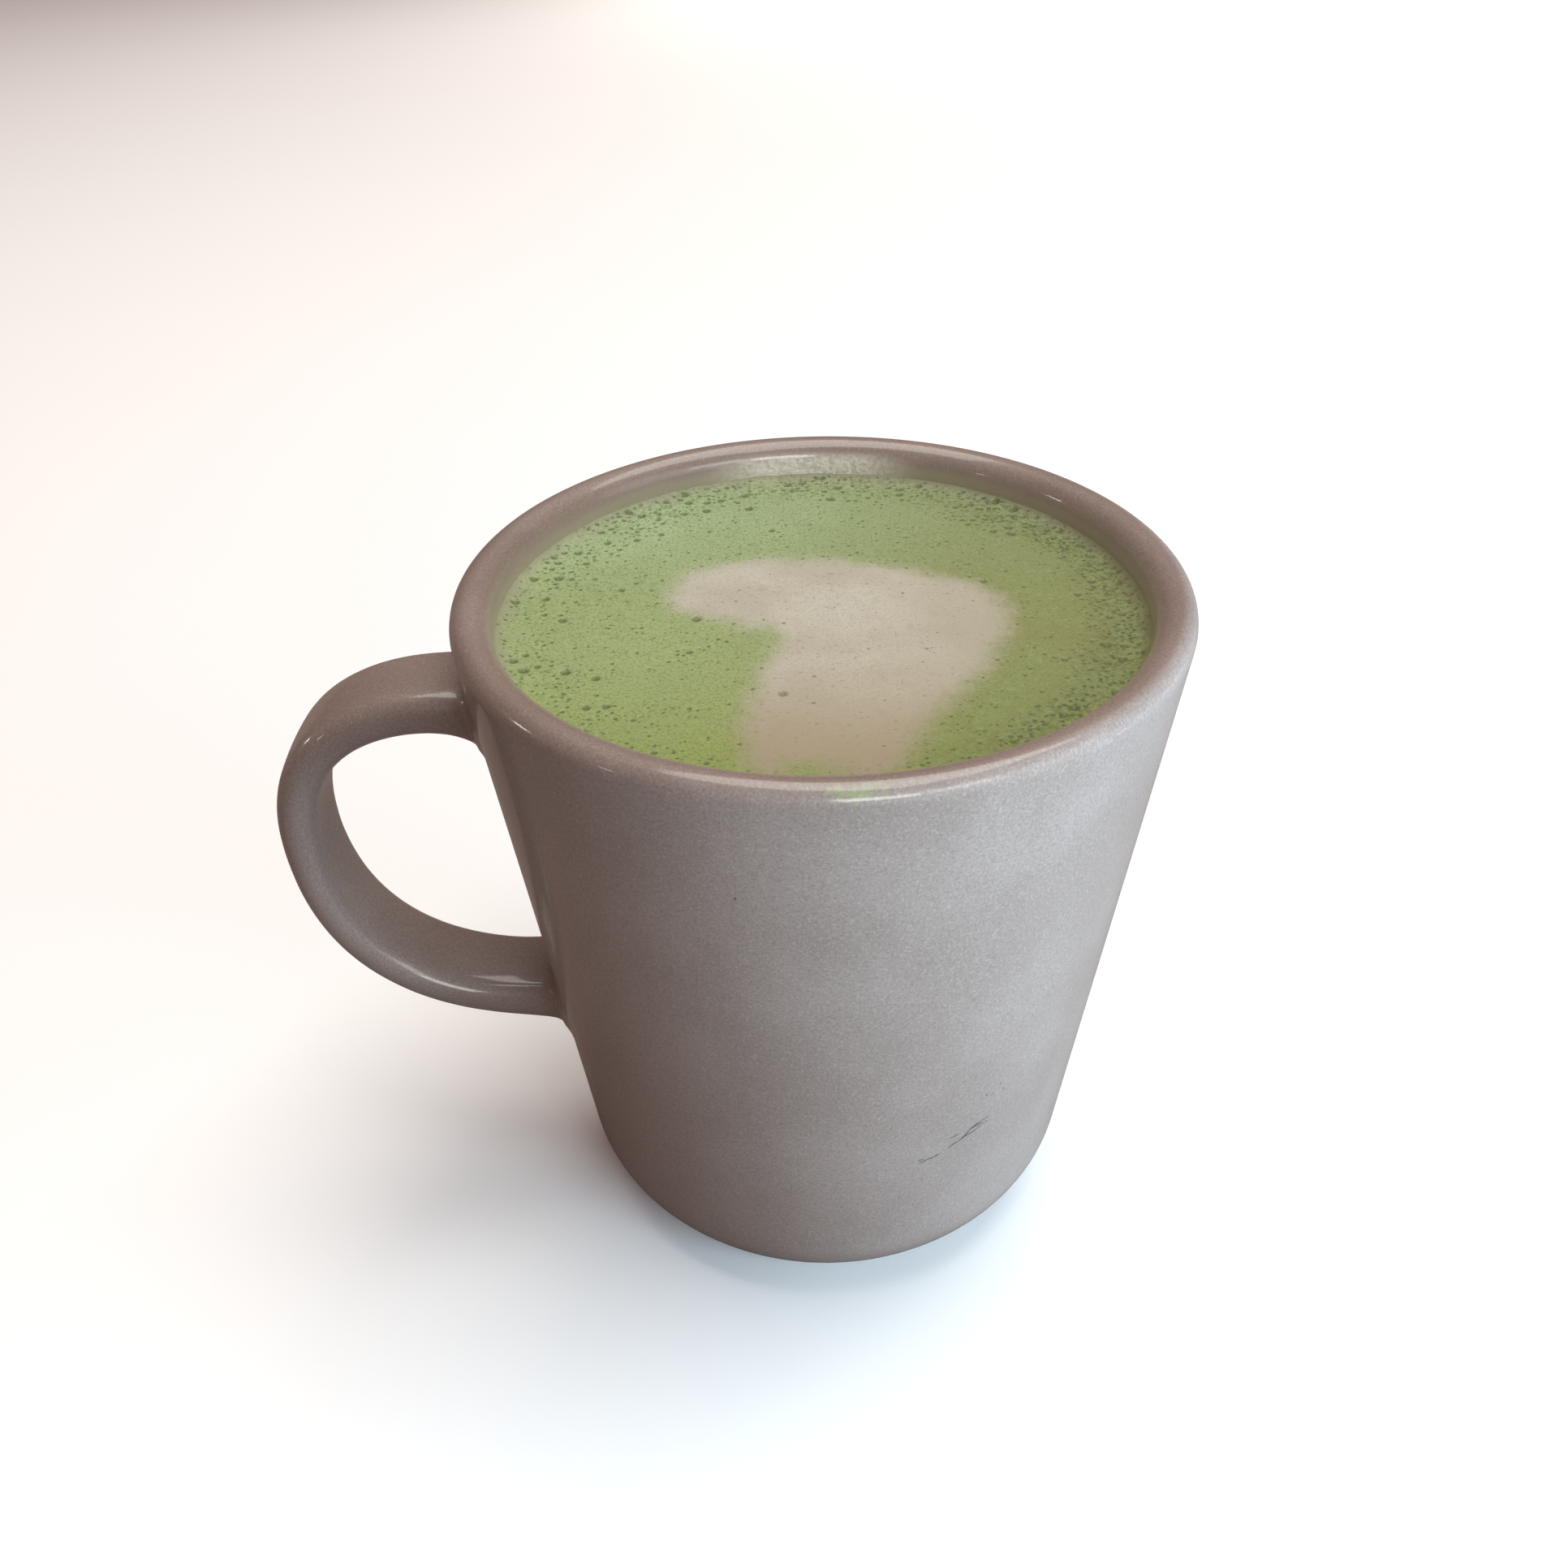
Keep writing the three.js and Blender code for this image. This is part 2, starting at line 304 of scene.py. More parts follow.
def evenly(line, count):
    """Points spaced evenly along a line of points."""
    lengths = np.concatenate([[0], np.cumsum(np.linalg.norm(np.diff(line, axis=0), axis=1))])
    even = np.linspace(0, lengths[-1], count)
    return np.stack([np.interp(even, lengths, part) for part in line.T], 1)


def bezier(points, count):
    """Points along a curve through the first and last of four points, pulled towards the other two."""
    t = np.linspace(0, 1, count)[:, None]
    a, b, c, d = (np.array(p) for p in points)
    return (1 - t) ** 3 * a + 3 * (1 - t) ** 2 * t * b + 3 * (1 - t) * t ** 2 * c + t ** 3 * d


def strap_line(count):
    """Evenly spaced points along the strap's middle, with their directions, as (distance out, height)."""
    def pulled(root):
        angle = math.radians(root["angle"])
        return np.array(root["at"]) + root["pull"] * np.array([math.cos(angle), math.sin(angle)])

    far = np.array(OUTERMOST["at"])
    rise = np.array([0, OUTERMOST["pull"]])
    upper = bezier([TOP_ROOT["at"], pulled(TOP_ROOT), far + rise, far], 400)
    lower = bezier([far, far - rise, pulled(BOTTOM_ROOT), BOTTOM_ROOT["at"]], 400)
    points = evenly(np.concatenate([upper, lower[1:]]), count)
    along = np.gradient(points, axis=0)
    return points, along / np.linalg.norm(along, axis=1)[:, None]


def strap_section(thickness, width):
    """The strap's section: a flat oval with round edges and slightly crowned faces."""
    half_width = width / 2
    half_thickness = thickness / 2
    rounding = min(STRAP_EDGE_ROUND, half_thickness * 0.96)
    corner = np.array([half_width - rounding, half_thickness - rounding])
    points = []
    for sign_x, sign_y, start in ((1, 1, 0), (-1, 1, 90), (-1, -1, 180), (1, -1, 270)):
        edge = arc(sign_x * corner[0], sign_y * corner[1], rounding,
                   math.radians(start), math.radians(start + 90), STRAP_EDGE_STEPS)
        across = np.linspace(edge[-1][0], -edge[-1][0], STRAP_EDGE_STEPS + 1)[1:-1]
        points.append(edge)
        if start in (0, 180):
            points.append(np.stack([across, np.full(len(across), edge[-1][1])], 1))
    section = np.concatenate(points)
    crown = STRAP_CROWN * (1 - (section[:, 0] / half_width) ** 2)
    section[:, 1] += np.sign(section[:, 1]) * crown * np.abs(section[:, 1]) / half_thickness
    return section


def strap_mesh():
    """The handle's strap, from inside the wall, out and round, and back into it."""
    line, along = strap_line(STRAP_RINGS)
    share = np.linspace(0, 1, STRAP_RINGS)
    thickness = np.interp(share, [0, 0.5, 1], STRAP_THICKNESS)
    rings = []
    for i in range(STRAP_RINGS):
        from_wall = max(0, line[i][0] - outer_radius(line[i][1]))
        swell = 2 * ROOT_SWELL * math.exp(-from_wall / ROOT_SWELL_LENGTH)
        section = strap_section(thickness[i] + swell - STRAP_CROWN, STRAP_WIDTH + swell)
        out = line[i][0] - section[:, 1] * along[i][1]
        up = line[i][1] + section[:, 1] * along[i][0]
        # What would reach past the middle of the wall is moved out to it
        for _ in range(3):
            radius = np.hypot(out, section[:, 0])
            out += np.maximum(0, outer_radius(up) - WALL / 2 - radius)
        rings.append(np.stack([-out, section[:, 0], up], 1))
    around = len(rings[0])
    corners = np.concatenate(rings)
    faces = [tuple(range(around)), tuple(reversed(range(len(corners) - around, len(corners))))]
    for i in range(STRAP_RINGS - 1):
        for j in range(around):
            k = (j + 1) % around
            low = i * around
            faces.append((low + j, low + around + j, low + around + k, low + k))
    return corners, faces


def mesh_of(name, corners, faces):
    """A mesh of corners measured from the cup's axis."""
    mesh = bpy.data.meshes.new(name)
    moved = np.array(corners, float)
    moved[:, 0] += AXIS_X
    mesh.from_pydata(moved.tolist(), [], faces)
    mesh.update()
    return mesh


def outward(mesh):
    """Turns every face outward."""
    work = bmesh.new()
    work.from_mesh(mesh)
    bmesh.ops.recalc_face_normals(work, faces=work.faces)
    work.to_mesh(mesh)
    work.free()


def add_object(name, mesh):
    piece = bpy.data.objects.new(name, mesh)
    bpy.context.scene.collection.objects.link(piece)
    return piece


def root_fillets(corners, first, last):
    """Raises the outer wall round each root of the handle, so that the strap grows out of it."""
    wall = corners[first:last]
    for upper, slope in zip((True, False), ROOT_SLOPES):
        root = root_place(upper)
        half_z = STRAP_THICKNESS[0] / 2 / math.cos(math.radians(slope)) + ROOT_SWELL
        half_y = STRAP_WIDTH / 2 + ROOT_SWELL
        corner = STRAP_EDGE_ROUND
        reach = np.abs(np.stack([wall[:, 1], wall[:, 2] - root], 1)) - (half_y - corner, half_z - corner)
        outside = np.hypot(*np.maximum(reach, 0).T) + np.minimum(reach.max(1), 0) - corner
        share = 1 - np.clip(outside / ROOT_FILLET_REACH, 0, 1)
        lift = ROOT_FILLET * share ** 2 * (wall[:, 0] < 0)
        radius = np.hypot(wall[:, 0], wall[:, 1])
        wall[:, :2] *= (1 + lift / radius)[:, None]
    return corners


def root_place(upper):
    """The height at which the strap's middle line leaves the wall."""
    line, _ = strap_line(300)
    outside = line[:, 0] > outer_radius(line[:, 1])
    crossing = np.argmax(outside) if upper else len(outside) - 1 - np.argmax(outside[::-1])
    return line[crossing][1]


def soften_seam(mesh):
    """Smooths the line where the strap meets the cup. Faces of the two have different material numbers."""
    work = bmesh.new()
    work.from_mesh(mesh)

    def on_seam():
        return {v for v in work.verts if len({f.material_index for f in v.link_faces}) > 1}

    bmesh.ops.remove_doubles(work, verts=list(on_seam()), dist=SEAM_MERGE)
    near = on_seam()
    for _ in range(SEAM_REACH):
        near |= {e.other_vert(v) for v in near for e in v.link_edges}
    for _ in range(SEAM_ROUNDS):
        bmesh.ops.smooth_vert(work, verts=list(near), factor=0.5,
                              use_axis_x=True, use_axis_y=True, use_axis_z=True)
    for face in work.faces:
        face.material_index = 0
        face.smooth = True
    work.to_mesh(mesh)
    work.free()


def make_mug():
    """The cup with its strap, joined into one mesh."""
    profile = cup_profile()
    angles = cup_angles()
    corners, faces = turned(profile, angles, FOOT_HOLLOW, FLOOR)
    outside = np.abs(profile[:, 0] - outer_radius(profile[:, 1])) < 1e-5
    wall_rows = np.where(outside & (profile[:, 1] > BASE_ROUND))[0]
    first = 1 + wall_rows[0] * len(angles)
    last = 1 + (wall_rows[-1] + 1) * len(angles)
    corners = root_fillets(corners, first, last)
    cup = add_object("mug_glazed", mesh_of("mug_glazed", corners, faces))
    strap = add_object("strap", mesh_of("strap", *strap_mesh()))
    for number, part in enumerate((cup, strap)):
        outward(part.data)
        part.data.materials.append(None)
        part.data.materials.append(None)
        part.data.polygons.foreach_set("material_index", [number] * len(part.data.polygons))
    join = cup.modifiers.new("join", "BOOLEAN")
    join.operation = "UNION"
    join.solver = "MANIFOLD"
    join.object = strap
    joined = bpy.data.meshes.new_from_object(cup.evaluated_get(bpy.context.evaluated_depsgraph_get()))
    cup.modifiers.clear()
    cup.data = joined
    joined.name = "mug_glazed"
    bpy.data.objects.remove(strap)
    soften_seam(joined)
    joined.materials.clear()
    return cup


# The drink's surface

def closed_curve(points, steps):
    """A smooth closed curve through the points."""
    ring = np.array(points)
    before, after, beyond = np.roll(ring, 1, 0), np.roll(ring, -1, 0), np.roll(ring, -2, 0)
    t = np.linspace(0, 1, steps, endpoint=False)[:, None, None]
    curve = 0.5 * (2 * ring + (after - before) * t + (2 * before - 5 * ring + 4 * after - beyond) * t ** 2
                   + (3 * ring - before - 3 * after + beyond) * t ** 3)
    return curve.transpose(1, 0, 2).reshape(-1, 2)


def inside_distance(places, outline):
    """How far each place is inside a closed outline, less than nothing outside it."""
    start = outline
    end = np.roll(outline, -1, 0)
    edge = end - start
    nearest = np.full(len(places), 1.0)
    crossings = np.zeros(len(places), int)
    for a, b, e in zip(start, end, edge):
        share = np.clip(((places - a) @ e) / (e @ e), 0, 1)
        nearest = np.minimum(nearest, np.hypot(*(places - a - share[:, None] * e).T))
        spans = (a[1] > places[:, 1]) != (b[1] > places[:, 1])
        if e[1] != 0:
            crossings += spans & (places[:, 0] < a[0] + (places[:, 1] - a[1]) * e[0] / e[1])
    return np.where(crossings % 2 == 1, nearest, -nearest)


def milk_distance(places):
    """How far each place is inside the milk foam."""
    heart = inside_distance(places, closed_curve(HEART_OUTLINE, 8))
    offset = (places - ISLAND["at"]) / ISLAND["radii"]
    island = (np.hypot(*offset.T) - 1) * ISLAND["radii"][1]
    return np.minimum(heart, island)


def smooth_step(value, low, high):
    """Rises smoothly from 0 to 1 between two values."""
    share = np.clip((value - low) / (high - low), 0, 1)
    return share * share * (3 - 2 * share)


def pit_chance(kind, places, milk, edge_radius):
    """The share of the places that get a pit: in loose clusters, most near the wall, few in the heart."""
    radius = np.hypot(*places.T)
    inset = edge_radius - radius
    band = smooth_step(inset, 0.0004, 0.0016) * (1 - smooth_step(inset, 0.0050, 0.0105))
    away, aside = places[:, 1] / radius, places[:, 0] / radius
    along_wall = kind["back"] * smooth_step(away, 0.1, 0.6) + kind["right"] * smooth_step(aside, 0.35, 0.8)
    along_wall += kind["left"] * smooth_step(-aside, 0.2, 0.7)
    cluster = np.array([noise.noise(Vector((x * 170, y * 170, 1.3))) for x, y in places])
    loose = np.clip(0.9 + 1.5 * cluster, 0.25, 2.0)
    return (kind["plain"] + band * along_wall) * loose * np.where(milk > 0, 0.15, 1)


def scatter_pits(edge_radius):
    """Burst bubbles as (x, y, radius), none too near another."""
    draw = np.random.default_rng(SEED)
    pits = []
    cells = {}
    for kind in (PITS["coarse"], PITS["fine"]):
        radius = edge_radius * np.sqrt(draw.random(PIT_DRAWS))
        around = 2 * math.pi * draw.random(PIT_DRAWS)
        places = np.stack([radius * np.cos(around), radius * np.sin(around)], 1)
        least, most = kind["radii"]
        sizes = least + (most - least) * draw.random(PIT_DRAWS) ** 1.4
        kept = draw.random(PIT_DRAWS) < pit_chance(kind, places, milk_distance(places), edge_radius)
        kept &= radius + sizes < edge_radius - PIT_MARGIN
        for (x, y), size in zip(places[kept].tolist(), sizes[kept].tolist()):
            column, row = int(x // PIT_CELL), int(y // PIT_CELL)
            near = [p for i in (-1, 0, 1) for j in (-1, 0, 1) for p in cells.get((column + i, row + j), ())]
            if any(math.hypot(x - px, y - py) < PIT_SPACING * (size + other) for px, py, other in near):
                continue
            cells.setdefault((column, row), []).append((x, y, size))
            pits.append((x, y, size))
    return pits


def ring_points(x, y, radius, count, turn):
    """Points evenly round a circle."""
    angles = np.linspace(0, 2 * math.pi, count, endpoint=False) + turn
    return np.stack([x + radius * np.cos(angles), y + radius * np.sin(angles)], 1)


def even_grid(reach):
    """An even grid of points in a circle."""
    rows = np.arange(-reach, reach, GRID_STEP * math.sqrt(3) / 2)
    grid = []
    for i, y in enumerate(rows):
        xs = np.arange(-reach, reach, GRID_STEP) + (GRID_STEP / 2 if i % 2 else 0)
        grid.append(np.stack([xs, np.full(len(xs), y)], 1))
    grid = np.concatenate(grid)
    return grid[np.hypot(*grid.T) < reach]


def surface_points(pits, edge_radius):
    """Points for the drink's surface: its edge, then rings inside it, an even grid and each pit's rings."""
    parts = [ring_points(0, 0, edge_radius, EDGE_POINTS, 0)]
    for i, inset in enumerate(EDGE_INSETS):
        turn = (i + 1) * math.pi / EDGE_POINTS
        parts.append(ring_points(0, 0, edge_radius - inset, EDGE_POINTS, turn))
    parts.append(even_grid(edge_radius - GRID_INSET))
    places = np.concatenate(parts)
    clear = np.ones(len(places), bool)
    rings = []
    for x, y, size in pits:
        clear &= np.hypot(places[:, 0] - x, places[:, 1] - y) > PIT_CLEARANCE * size
        turn = rng.uniform(0, 6.283)
        rings.append(np.array([[x, y]]))
        for share, count in PIT_RINGS if size > SMALL_PIT else SMALL_PIT_RINGS:
            rings.append(ring_points(x, y, share * size, count, turn + share))
    clear[:EDGE_POINTS] = True
    return np.concatenate([places[clear]] + rings)


def pit_shape(places, pits):
    """How deep each place is sunk by the pits, and how dark it is inside them, partly darker liquid and
    partly painted shade.
    """
    sink = np.zeros(len(places))
    dark = np.zeros(len(places))
    for x, y, size in pits:
        near = np.where(np.abs(places - (x, y)).max(1) < PIT_REACH * size)[0]
        away = np.hypot(places[near, 0] - x, places[near, 1] - y) / size
        bowl = np.clip(1 - away ** 2, 0, 1) * PIT_DEPTH
        rim = PIT_RIM * np.exp(-((away - 1.12) / 0.2) ** 2)
        sink[near] = np.maximum(sink[near], size * bowl) - size * rim
        dark[near] = np.maximum(dark[near], 1 - smooth_step(away, 0.5, 1.2))
    return sink, dark


def foam_height(places, milk, edge_radius):
    """The foam's relief: gentle waves, a heart that stands slightly proud, and the edge drawn up the wall."""
    radius = np.hypot(*places.T)
    waves = np.array([noise.noise(Vector((x * 90, y * 90, 3.1))) for x, y in places])
    fine = np.array([noise.noise(Vector((x * 420, y * 420, 7.7))) for x, y in places])
    heart = HEART_HEIGHT * smooth_step(milk, -0.002, 0.002)
    not_front = smooth_step(places[:, 1], -0.036, -0.010)
    climb = CLIMB_FRONT + (CLIMB_ELSEWHERE + CLIMB_RAGGED * fine) * not_front
    edge = climb * np.clip(1 - (edge_radius - radius) / CLIMB_WIDTH, 0, 1) ** 2.2
    return DRINK_LEVEL + WAVE_HEIGHT * waves + RIPPLE_HEIGHT * fine + heart + edge


def with_sides(surface, triangles):
    """Closes the drink's surface, whose first points are its edge, with a side down the wall and a bottom."""
    depths = DRINK_LEVEL - np.array(DRINK_DEPTHS)
    side = np.stack([inner_radius(depths) + DRINK_OVERLAP, depths], 1)
    profile = np.concatenate([side, cavity_floor(-DRINK_OVERLAP, 8)[::-1]])
    edge = surface[:EDGE_POINTS]
    turn = np.arctan2(edge[:, 1], edge[:, 0])
    body = []
    for radius, z in profile:
        body.append(np.column_stack([radius * np.cos(turn), radius * np.sin(turn), np.full(EDGE_POINTS, z)]))
    points = np.concatenate([surface] + body + [[(0, 0, FLOOR - DRINK_OVERLAP)]])
    faces = [tuple(t) for t in triangles]
    rows = [0] + [len(surface) + i * EDGE_POINTS for i in range(len(profile))]
    for high, low in zip(rows, rows[1:]):
        for j in range(EDGE_POINTS):
            k = (j + 1) % EDGE_POINTS
            faces.append((high + j, low + j, low + k, high + k))
    for j in range(EDGE_POINTS):
        faces.append((rows[-1] + j, len(points) - 1, rows[-1] + (j + 1) % EDGE_POINTS))
    return points, faces


def make_drink():
    """The drink with its heart, which carries how far each point is inside the milk and inside a pit."""
    edge_radius = inner_radius(DRINK_LEVEL) + DRINK_OVERLAP
    pits = scatter_pits(edge_radius)
    flat = [Vector(p) for p in (surface_points(pits, edge_radius) * 1000).tolist()]
    corners, _, triangles, *_ = delaunay_2d_cdt(flat, [], [], 0, 1e-6, False)
    places = np.array([tuple(p) for p in corners]) / 1000
    milk = milk_distance(places)
    sink, dark = pit_shape(places, pits)
    surface = np.column_stack([places, foam_height(places, milk, edge_radius) - sink])
    points, faces = with_sides(surface, triangles)
    mesh = mesh_of("matcha_foam", points, faces)
    hidden = np.zeros(len(points) - len(surface))
    marks = {"milk": np.concatenate([milk * 1000, hidden - 10]), "pit": np.concatenate([dark, hidden])}
    for name, values in marks.items():
        mesh.attributes.new(name, "FLOAT", "POINT").data.foreach_set("value", values)
    outward(mesh)
    mesh.shade_smooth()
    return add_object("matcha_foam", mesh)


# The scuffs

def on_wall(degrees, z):
    """A point on the outer wall."""
    radius = outer_radius(z)
    angle = math.radians(degrees)
    return np.array([radius * math.cos(angle), radius * math.sin(angle), z])


def ribbon(places, width):
    """A thin mark on the wall along a line, tapering to both ends, that stands in the glaze."""
    steps = 10
    path = evenly(np.array([on_wall(*p) for p in places]), steps * (len(places) - 1) + 1)
    along = np.gradient(path, axis=0)
    corners = []
    for i, (point, way) in enumerate(zip(path, along)):
        radial = np.array([point[0], point[1], 0]) / math.hypot(point[0], point[1])
        level = outer_radius(point[2])
        point = np.array([radial[0] * level, radial[1] * level, point[2]])
        across = np.cross(radial, way)
        across /= np.linalg.norm(across)
        share = i / (len(path) - 1)
        half = width / 2 * (0.25 + 0.75 * math.sin(math.pi * share)) * (0.75 + 0.5 * rng.random())
        jitter = across * (rng.random() - 0.5) * width * 0.6
        for side, proud in ((-1, -0.00001), (0, 0.00004), (1, -0.00001), (0, -0.0002)):
            corners.append(point + across * side * half + radial * proud + jitter)
    faces = [(3, 2, 1, 0), tuple(len(corners) - 4 + i for i in range(4))]
    for i in range(len(path) - 1):
        for j in range(4):
            k = (j + 1) % 4
            faces.append((4 * i + j, 4 * i + k, 4 * i + 4 + k, 4 * i + 4 + j))
    return np.array(corners), faces


def make_scuffs():
    """The light scuffs low on the front."""
    corners, faces = [], []
    lines = list(SCUFF_LINES)
    for degrees, z in SCUFF_SPECKS:
        lines.append([(degrees - SPECK_HALF_DEGREES, z), (degrees + SPECK_HALF_DEGREES, z + SPECK_RISE)])
    for line in lines:
        points, sides = ribbon(line, SCUFF_WIDTH)
        start = len(corners)
        corners.extend(points)
        faces.extend(tuple(start + i for i in side) for side in sides)
    mesh = mesh_of("scuff_marks", corners, faces)
    outward(mesh)
    mesh.shade_smooth()
    return add_object("scuff_marks", mesh)


# Materials

def shade(red, green, blue):
    """A colour given in 0 to 255 as a screen shows it."""
    def linear(part):
        part /= 255
        return part / 12.92 if part <= 0.04045 else ((part + 0.055) / 1.055) ** 2.4
    return (linear(red), linear(green), linear(blue), 1)


class Nodes:
    """Adds nodes to a material. An input is linked if it is given a node's output, and set otherwise."""

    def __init__(self, name):
        self.material = bpy.data.materials.new(name)
        self.material.use_nodes = True
        self.tree = self.material.node_tree
        self.shader = self.tree.nodes["Principled BSDF"]

    def feed(self, socket, value):
        if isinstance(value, bpy.types.NodeSocket):
            self.tree.links.new(value, socket)
        else:
            socket.default_value = value

    def add(self, kind, inputs, **settings):
        node = self.tree.nodes.new("ShaderNode" + kind)
        for name, value in settings.items():
            setattr(node, name, value)
        for name, value in inputs.items():
            self.feed(node.inputs[name], value)
        return node

    def place(self):
        """Where a point is, measured from the cup's axis at the table."""
        here = self.add("TexCoord", {}).outputs["Object"]
        return self.add("VectorMath", {0: here, 1: (AXIS_X, 0, 0)}, operation="SUBTRACT").outputs[0]

    def from_axis(self, parts):
        """How far a point is from the cup's axis."""
        flat = self.add("CombineXYZ", {0: parts[0], 1: parts[1]}).outputs[0]
        return self.add("VectorMath", {0: flat}, operation="LENGTH").outputs["Value"]

    def maths(self, operation, a, b=0.0):
        return self.add("Math", {0: a, 1: b}, operation=operation).outputs[0]

    def noise(self, vector, size, detail=3.0, rough=0.5):
        inputs = {"Vector": vector, "Scale": 1 / size, "Detail": detail, "Roughness": rough}
        return self.add("TexNoise", inputs).outputs["Fac"]

    def fade(self, value, low, high, to_low=0.0, to_high=1.0):
        """Goes smoothly from one value to another as the input goes from low to high."""
        inputs = {0: value, 1: low, 2: high, 3: to_low, 4: to_high}
        return self.add("MapRange", inputs, interpolation_type="SMOOTHSTEP").outputs[0]

    def mix(self, share, a, b):
        node = self.add("Mix", {"Factor": share}, data_type="RGBA")
        self.feed(node.inputs[6], a)
        self.feed(node.inputs[7], b)
        return node.outputs[2]

    def bump(self, height, distance, strength=1.0, normal=None):
        inputs = {"Height": height, "Distance": distance, "Strength": strength}
        if normal is not None:
            inputs["Normal"] = normal
        return self.add("Bump", inputs).outputs[0]

    def finish(self, **sockets):
        for name, value in sockets.items():
            self.feed(self.shader.inputs[name.replace("_", " ")], value)
        return self.material


def thin_foam(n, parts):
    """Foam so thin that glaze shows through: greenish on the left, pale at the back, and a darker brown on
    the right that is partly painted shade.
    """
    across = n.fade(parts[0], *LEFT_TO_RIGHT)
    # The right's darker brown is partly the glaze showing through and partly painted shade by the right wall.
    sides = n.mix(across, shade(146, 148, 120), shade(114, 108, 78))
    return n.mix(n.fade(parts[1], 0.004, 0.036, 0.0, 0.7), sides, shade(148, 154, 124))


def clinging_foam(n, place, parts, glaze_colour):
    """Thin foam on the inner wall, higher at the back, where part of it is white and wrinkled, its crests
    painted whiter as glints. Above the drink the shaded inner wall is lightened with painted light.

    Returns the glaze's colour with the foam and the painted light on it, the share of thin foam and the
    height of the wrinkles."""
    above = n.maths("SUBTRACT", parts[2], DRINK_LEVEL + 0.0004)
    inner = n.fade(n.from_axis(parts), RIM_RADIUS - 0.0035, RIM_RADIUS - 0.0028, 1.0, 0.0)
    inner = n.maths("MULTIPLY", inner, n.fade(above, -0.003, -0.002))
    # Painted light: the inner wall above the drink, which lies in shade, is lightened towards a pale
    # purple-grey.
    painted_light_on_inner_wall = n.maths("MULTIPLY", inner, n.fade(above, 0.0004, 0.0040, 0.75, 0.0))
    colour = n.mix(painted_light_on_inner_wall, glaze_colour, shade(182, 168, 158))
    back = n.fade(parts[1], 0.010, 0.036, 0.0, 0.0006)
    ragged = n.maths("MULTIPLY", n.noise(place, 0.005, 4.0), 0.0012)
    reach = n.maths("ADD", n.maths("ADD", back, ragged), 0.0001)
    film = n.maths("MULTIPLY", n.fade(n.maths("DIVIDE", above, reach), 0.2, 1.8, 0.65, 0.0), inner)
    # The clinging foam is partly its own thin-foam colour and partly lightened towards a pale tone, painted
    # light on the shaded wall.
    colour = n.mix(film, colour, n.mix(0.45, thin_foam(n, parts), shade(184, 182, 152)))
    middle = n.fade(n.maths("ABSOLUTE", parts[0]), 0.005, 0.017, 1.0, 0.0)
    white = n.maths("MULTIPLY", n.fade(parts[1], 0.030, 0.040), middle)
    white = n.maths("MULTIPLY", white, n.fade(above, 0.0018, 0.0036, 1.0, 0.0))
    white = n.maths("MULTIPLY", white, inner)
    wrinkles = n.noise(place, 0.0007, 3.0, 0.6)
    # Pale foam, with the wrinkles' crests painted whiter as glints.
    crests_with_painted_glints = n.maths("MULTIPLY", white, n.fade(wrinkles, 0.35, 0.6, 0.6, 1.0))
    return n.mix(crests_with_painted_glints, colour, shade(243, 241, 232)), film, n.maths("MULTIPLY", wrinkles, white)


def lip_smear(n, place):
    """How much of the green smear on the front of the lip is at a point."""
    offset = n.add("VectorMath", {0: place, 1: SMEAR["at"]}, operation="SUBTRACT").outputs[0]
    offset = n.add("VectorMath", {0: offset, 1: SMEAR["per_metre"]}, operation="MULTIPLY").outputs[0]
    away = n.add("VectorMath", {0: offset}, operation="LENGTH").outputs["Value"]
    away = n.maths("ADD", away, n.fade(n.noise(place, 0.0010, 4.0, 0.7), 0.25, 0.75, -0.5, 0.9))
    return n.fade(away, 0.0, 1.6, 0.55, 0.0)


def glaze():
    """Satin warm grey glaze, clouded and grained, with what the drink left on it, and painted light on the
    shaded inner wall.
    """
    n = Nodes("mug_glaze")
    place = n.place()
    parts = n.add("SeparateXYZ", {0: place}).outputs
    cloud = n.noise(place, 0.02)
    grain = n.noise(place, 0.00034, 2.0, 0.7)
    speck = n.noise(place, 0.0022, 4.0, 0.6)
    colour = n.mix(n.fade(cloud, 0.35, 0.65), shade(134, 118, 110), shade(142, 126, 118))
    colour = n.mix(n.fade(grain, 0.30, 0.50, 0.55, 0), colour, shade(112, 97, 90))
    colour = n.mix(n.fade(grain, 0.52, 0.72, 0, 0.55), colour, shade(164, 150, 142))
    colour = n.mix(n.fade(speck, 0.66, 0.72, 0, 0.25), colour, shade(110, 95, 88))
    colour, film, wrinkles = clinging_foam(n, place, parts, colour)
    smear = lip_smear(n, place)
    colour = n.mix(smear, colour, shade(142, 158, 106))
    wet = n.maths("MAXIMUM", film, smear)
    roughness = n.fade(cloud, 0.3, 0.7, 0.46, 0.54)
    roughness = n.maths("SUBTRACT", roughness, n.maths("MULTIPLY", wet, 0.22))
    skin = n.bump(n.noise(place, 0.0032, 2.0), 0.00006)
    skin = n.bump(grain, 0.000012, 1.0, skin)
    skin = n.bump(wrinkles, 0.00022, 1.0, skin)
    return n.finish(Base_Color=colour, Roughness=roughness, Normal=skin, Coat_Weight=0.65, Coat_Roughness=0.1)


